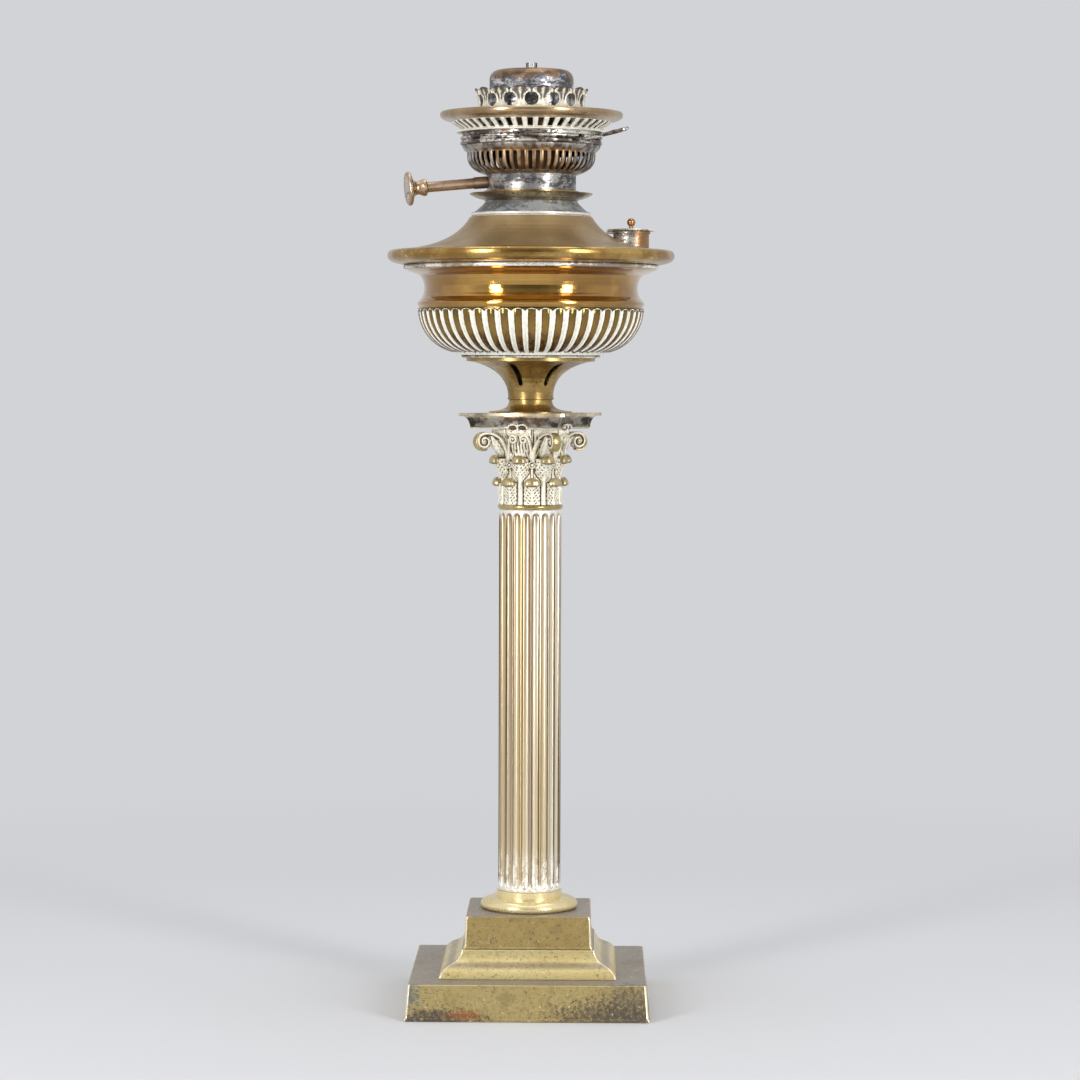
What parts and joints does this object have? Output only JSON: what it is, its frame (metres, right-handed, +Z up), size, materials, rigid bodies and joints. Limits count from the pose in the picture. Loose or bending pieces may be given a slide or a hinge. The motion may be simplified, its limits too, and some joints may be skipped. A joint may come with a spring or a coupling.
{
  "type": "column oil lamp",
  "caption": "Tall column oil lamp with a stepped square base, a leafy capital, a wide oil font and a round-wick burner with gallery.",
  "frame": {"origin": "centre of the base's underside, on the table", "axes": "+Z up the lamp's axis; -Y is the picture's front; +X is the picture's right"},
  "size_m": [0.1786, 0.1786, 0.5865],
  "materials": {
    "base_brass": "polished, olive-gold with age spots",
    "column_brass": "polished with worn bright ridges",
    "capital_brass": "cast, pale polish left in the hollows",
    "font_brass": "lacquered, warm gold",
    "pale_brass": "worn to silver grey",
    "tinned_brass": "dull tin with brown tarnish",
    "dark_brass": "heat darkened",
    "copper_brass": "polished copper tone",
    "steel": "plain",
    "iron": "rough",
    "cotton": "woven, scorched at the top"
  },
  "bodies": {
    "stand": {"base_slab": "base_brass", "base_ogee": "base_brass", "base_block": "base_brass", "base_weight": "iron", "tie_rod": "steel", "tie_nuts": "steel", "tie_washers": "steel", "column_foot": "base_brass", "column": "column_brass", "column_neck": "column_brass", "capital": "capital_brass", "lower_leaves": "capital_brass", "upper_leaves": "capital_brass", "abacus": "capital_brass", "font_foot": "font_brass", "font_pedestal": "font_brass", "font_base_ring": "pale_brass", "font_floor": "font_brass", "font_bowl": "font_brass", "font_band": "font_brass", "font_ring": "pale_brass", "font_shoulder": "base_brass", "font_collar": "pale_brass", "draught_tube": "dark_brass", "filler_neck": "tinned_brass", "lid_pin": "steel", "burner_dish": "tinned_brass", "burner_throat": "tinned_brass", "burner_basket": "tinned_brass", "burner_rim": "tinned_brass", "wick_tube": "dark_brass", "winder_tube": "copper_brass", "lever_pin": "steel"},
    "winder": {"winder_spindle": "steel", "winder_pinion": "dark_brass", "winder_knob": "copper_brass"},
    "wick_lift": {"wick": "cotton", "wick_carrier": "steel", "wick_rack": "steel"},
    "lever": {"snuffer_lever": "tinned_brass"},
    "sleeve": {"snuffer_sleeve": "dark_brass"},
    "lid": {"filler_lid": "tinned_brass", "lid_ball": "copper_brass"},
    "gallery": {"gallery_band": "pale_brass", "gallery_rim": "base_brass", "chimney_crown": "pale_brass", "draught_dome": "dark_brass"},
    "spreader": {"flame_spreader": "dark_brass", "spreader_button": "tinned_brass"}
  },
  "joints": [
    {"name": "winder_turn", "type": "hinge", "parent": "stand", "child": "winder", "pos_m": [-0.0194, -0.00448, 0.51306], "axis": [-0.9699, -0.2239, -0.0958], "range_deg": [-142.6, 85.57]},
    {"name": "wick_slide", "type": "slide", "parent": "stand", "child": "wick_lift", "axis": [0, 0, 1], "range_m": [-0.01, 0.006]},
    {"name": "lever_swing", "type": "hinge", "parent": "stand", "child": "lever", "pos_m": [0.03055, -0.03055, 0.537], "axis": [0.7071, 0.7071, 0], "range_deg": [0, 22]},
    {"name": "sleeve_slide", "type": "slide", "parent": "stand", "child": "sleeve", "axis": [0, 0, 1], "range_m": [0, 0.0081]},
    {"name": "lid_swing", "type": "hinge", "parent": "stand", "child": "lid", "pos_m": [0.04861, 0.00425, 0.4825], "axis": [0.0872, -0.9962, 0], "range_deg": [0, 100]},
    {"name": "gallery_lift", "type": "slide", "parent": "stand", "child": "gallery", "axis": [0, 0, 1], "range_m": [0, 0.05]},
    {"name": "spreader_lift", "type": "slide", "parent": "stand", "child": "spreader", "axis": [0, 0, 1], "range_m": [0, 0.05]}
  ],
  "couplings": [
    {"joint": "winder_turn", "follows": "wick_slide", "rad_per_m": 248.85},
    {"joint": "lever_swing", "follows": "sleeve_slide", "rad_per_m": 47.17}
  ]
}
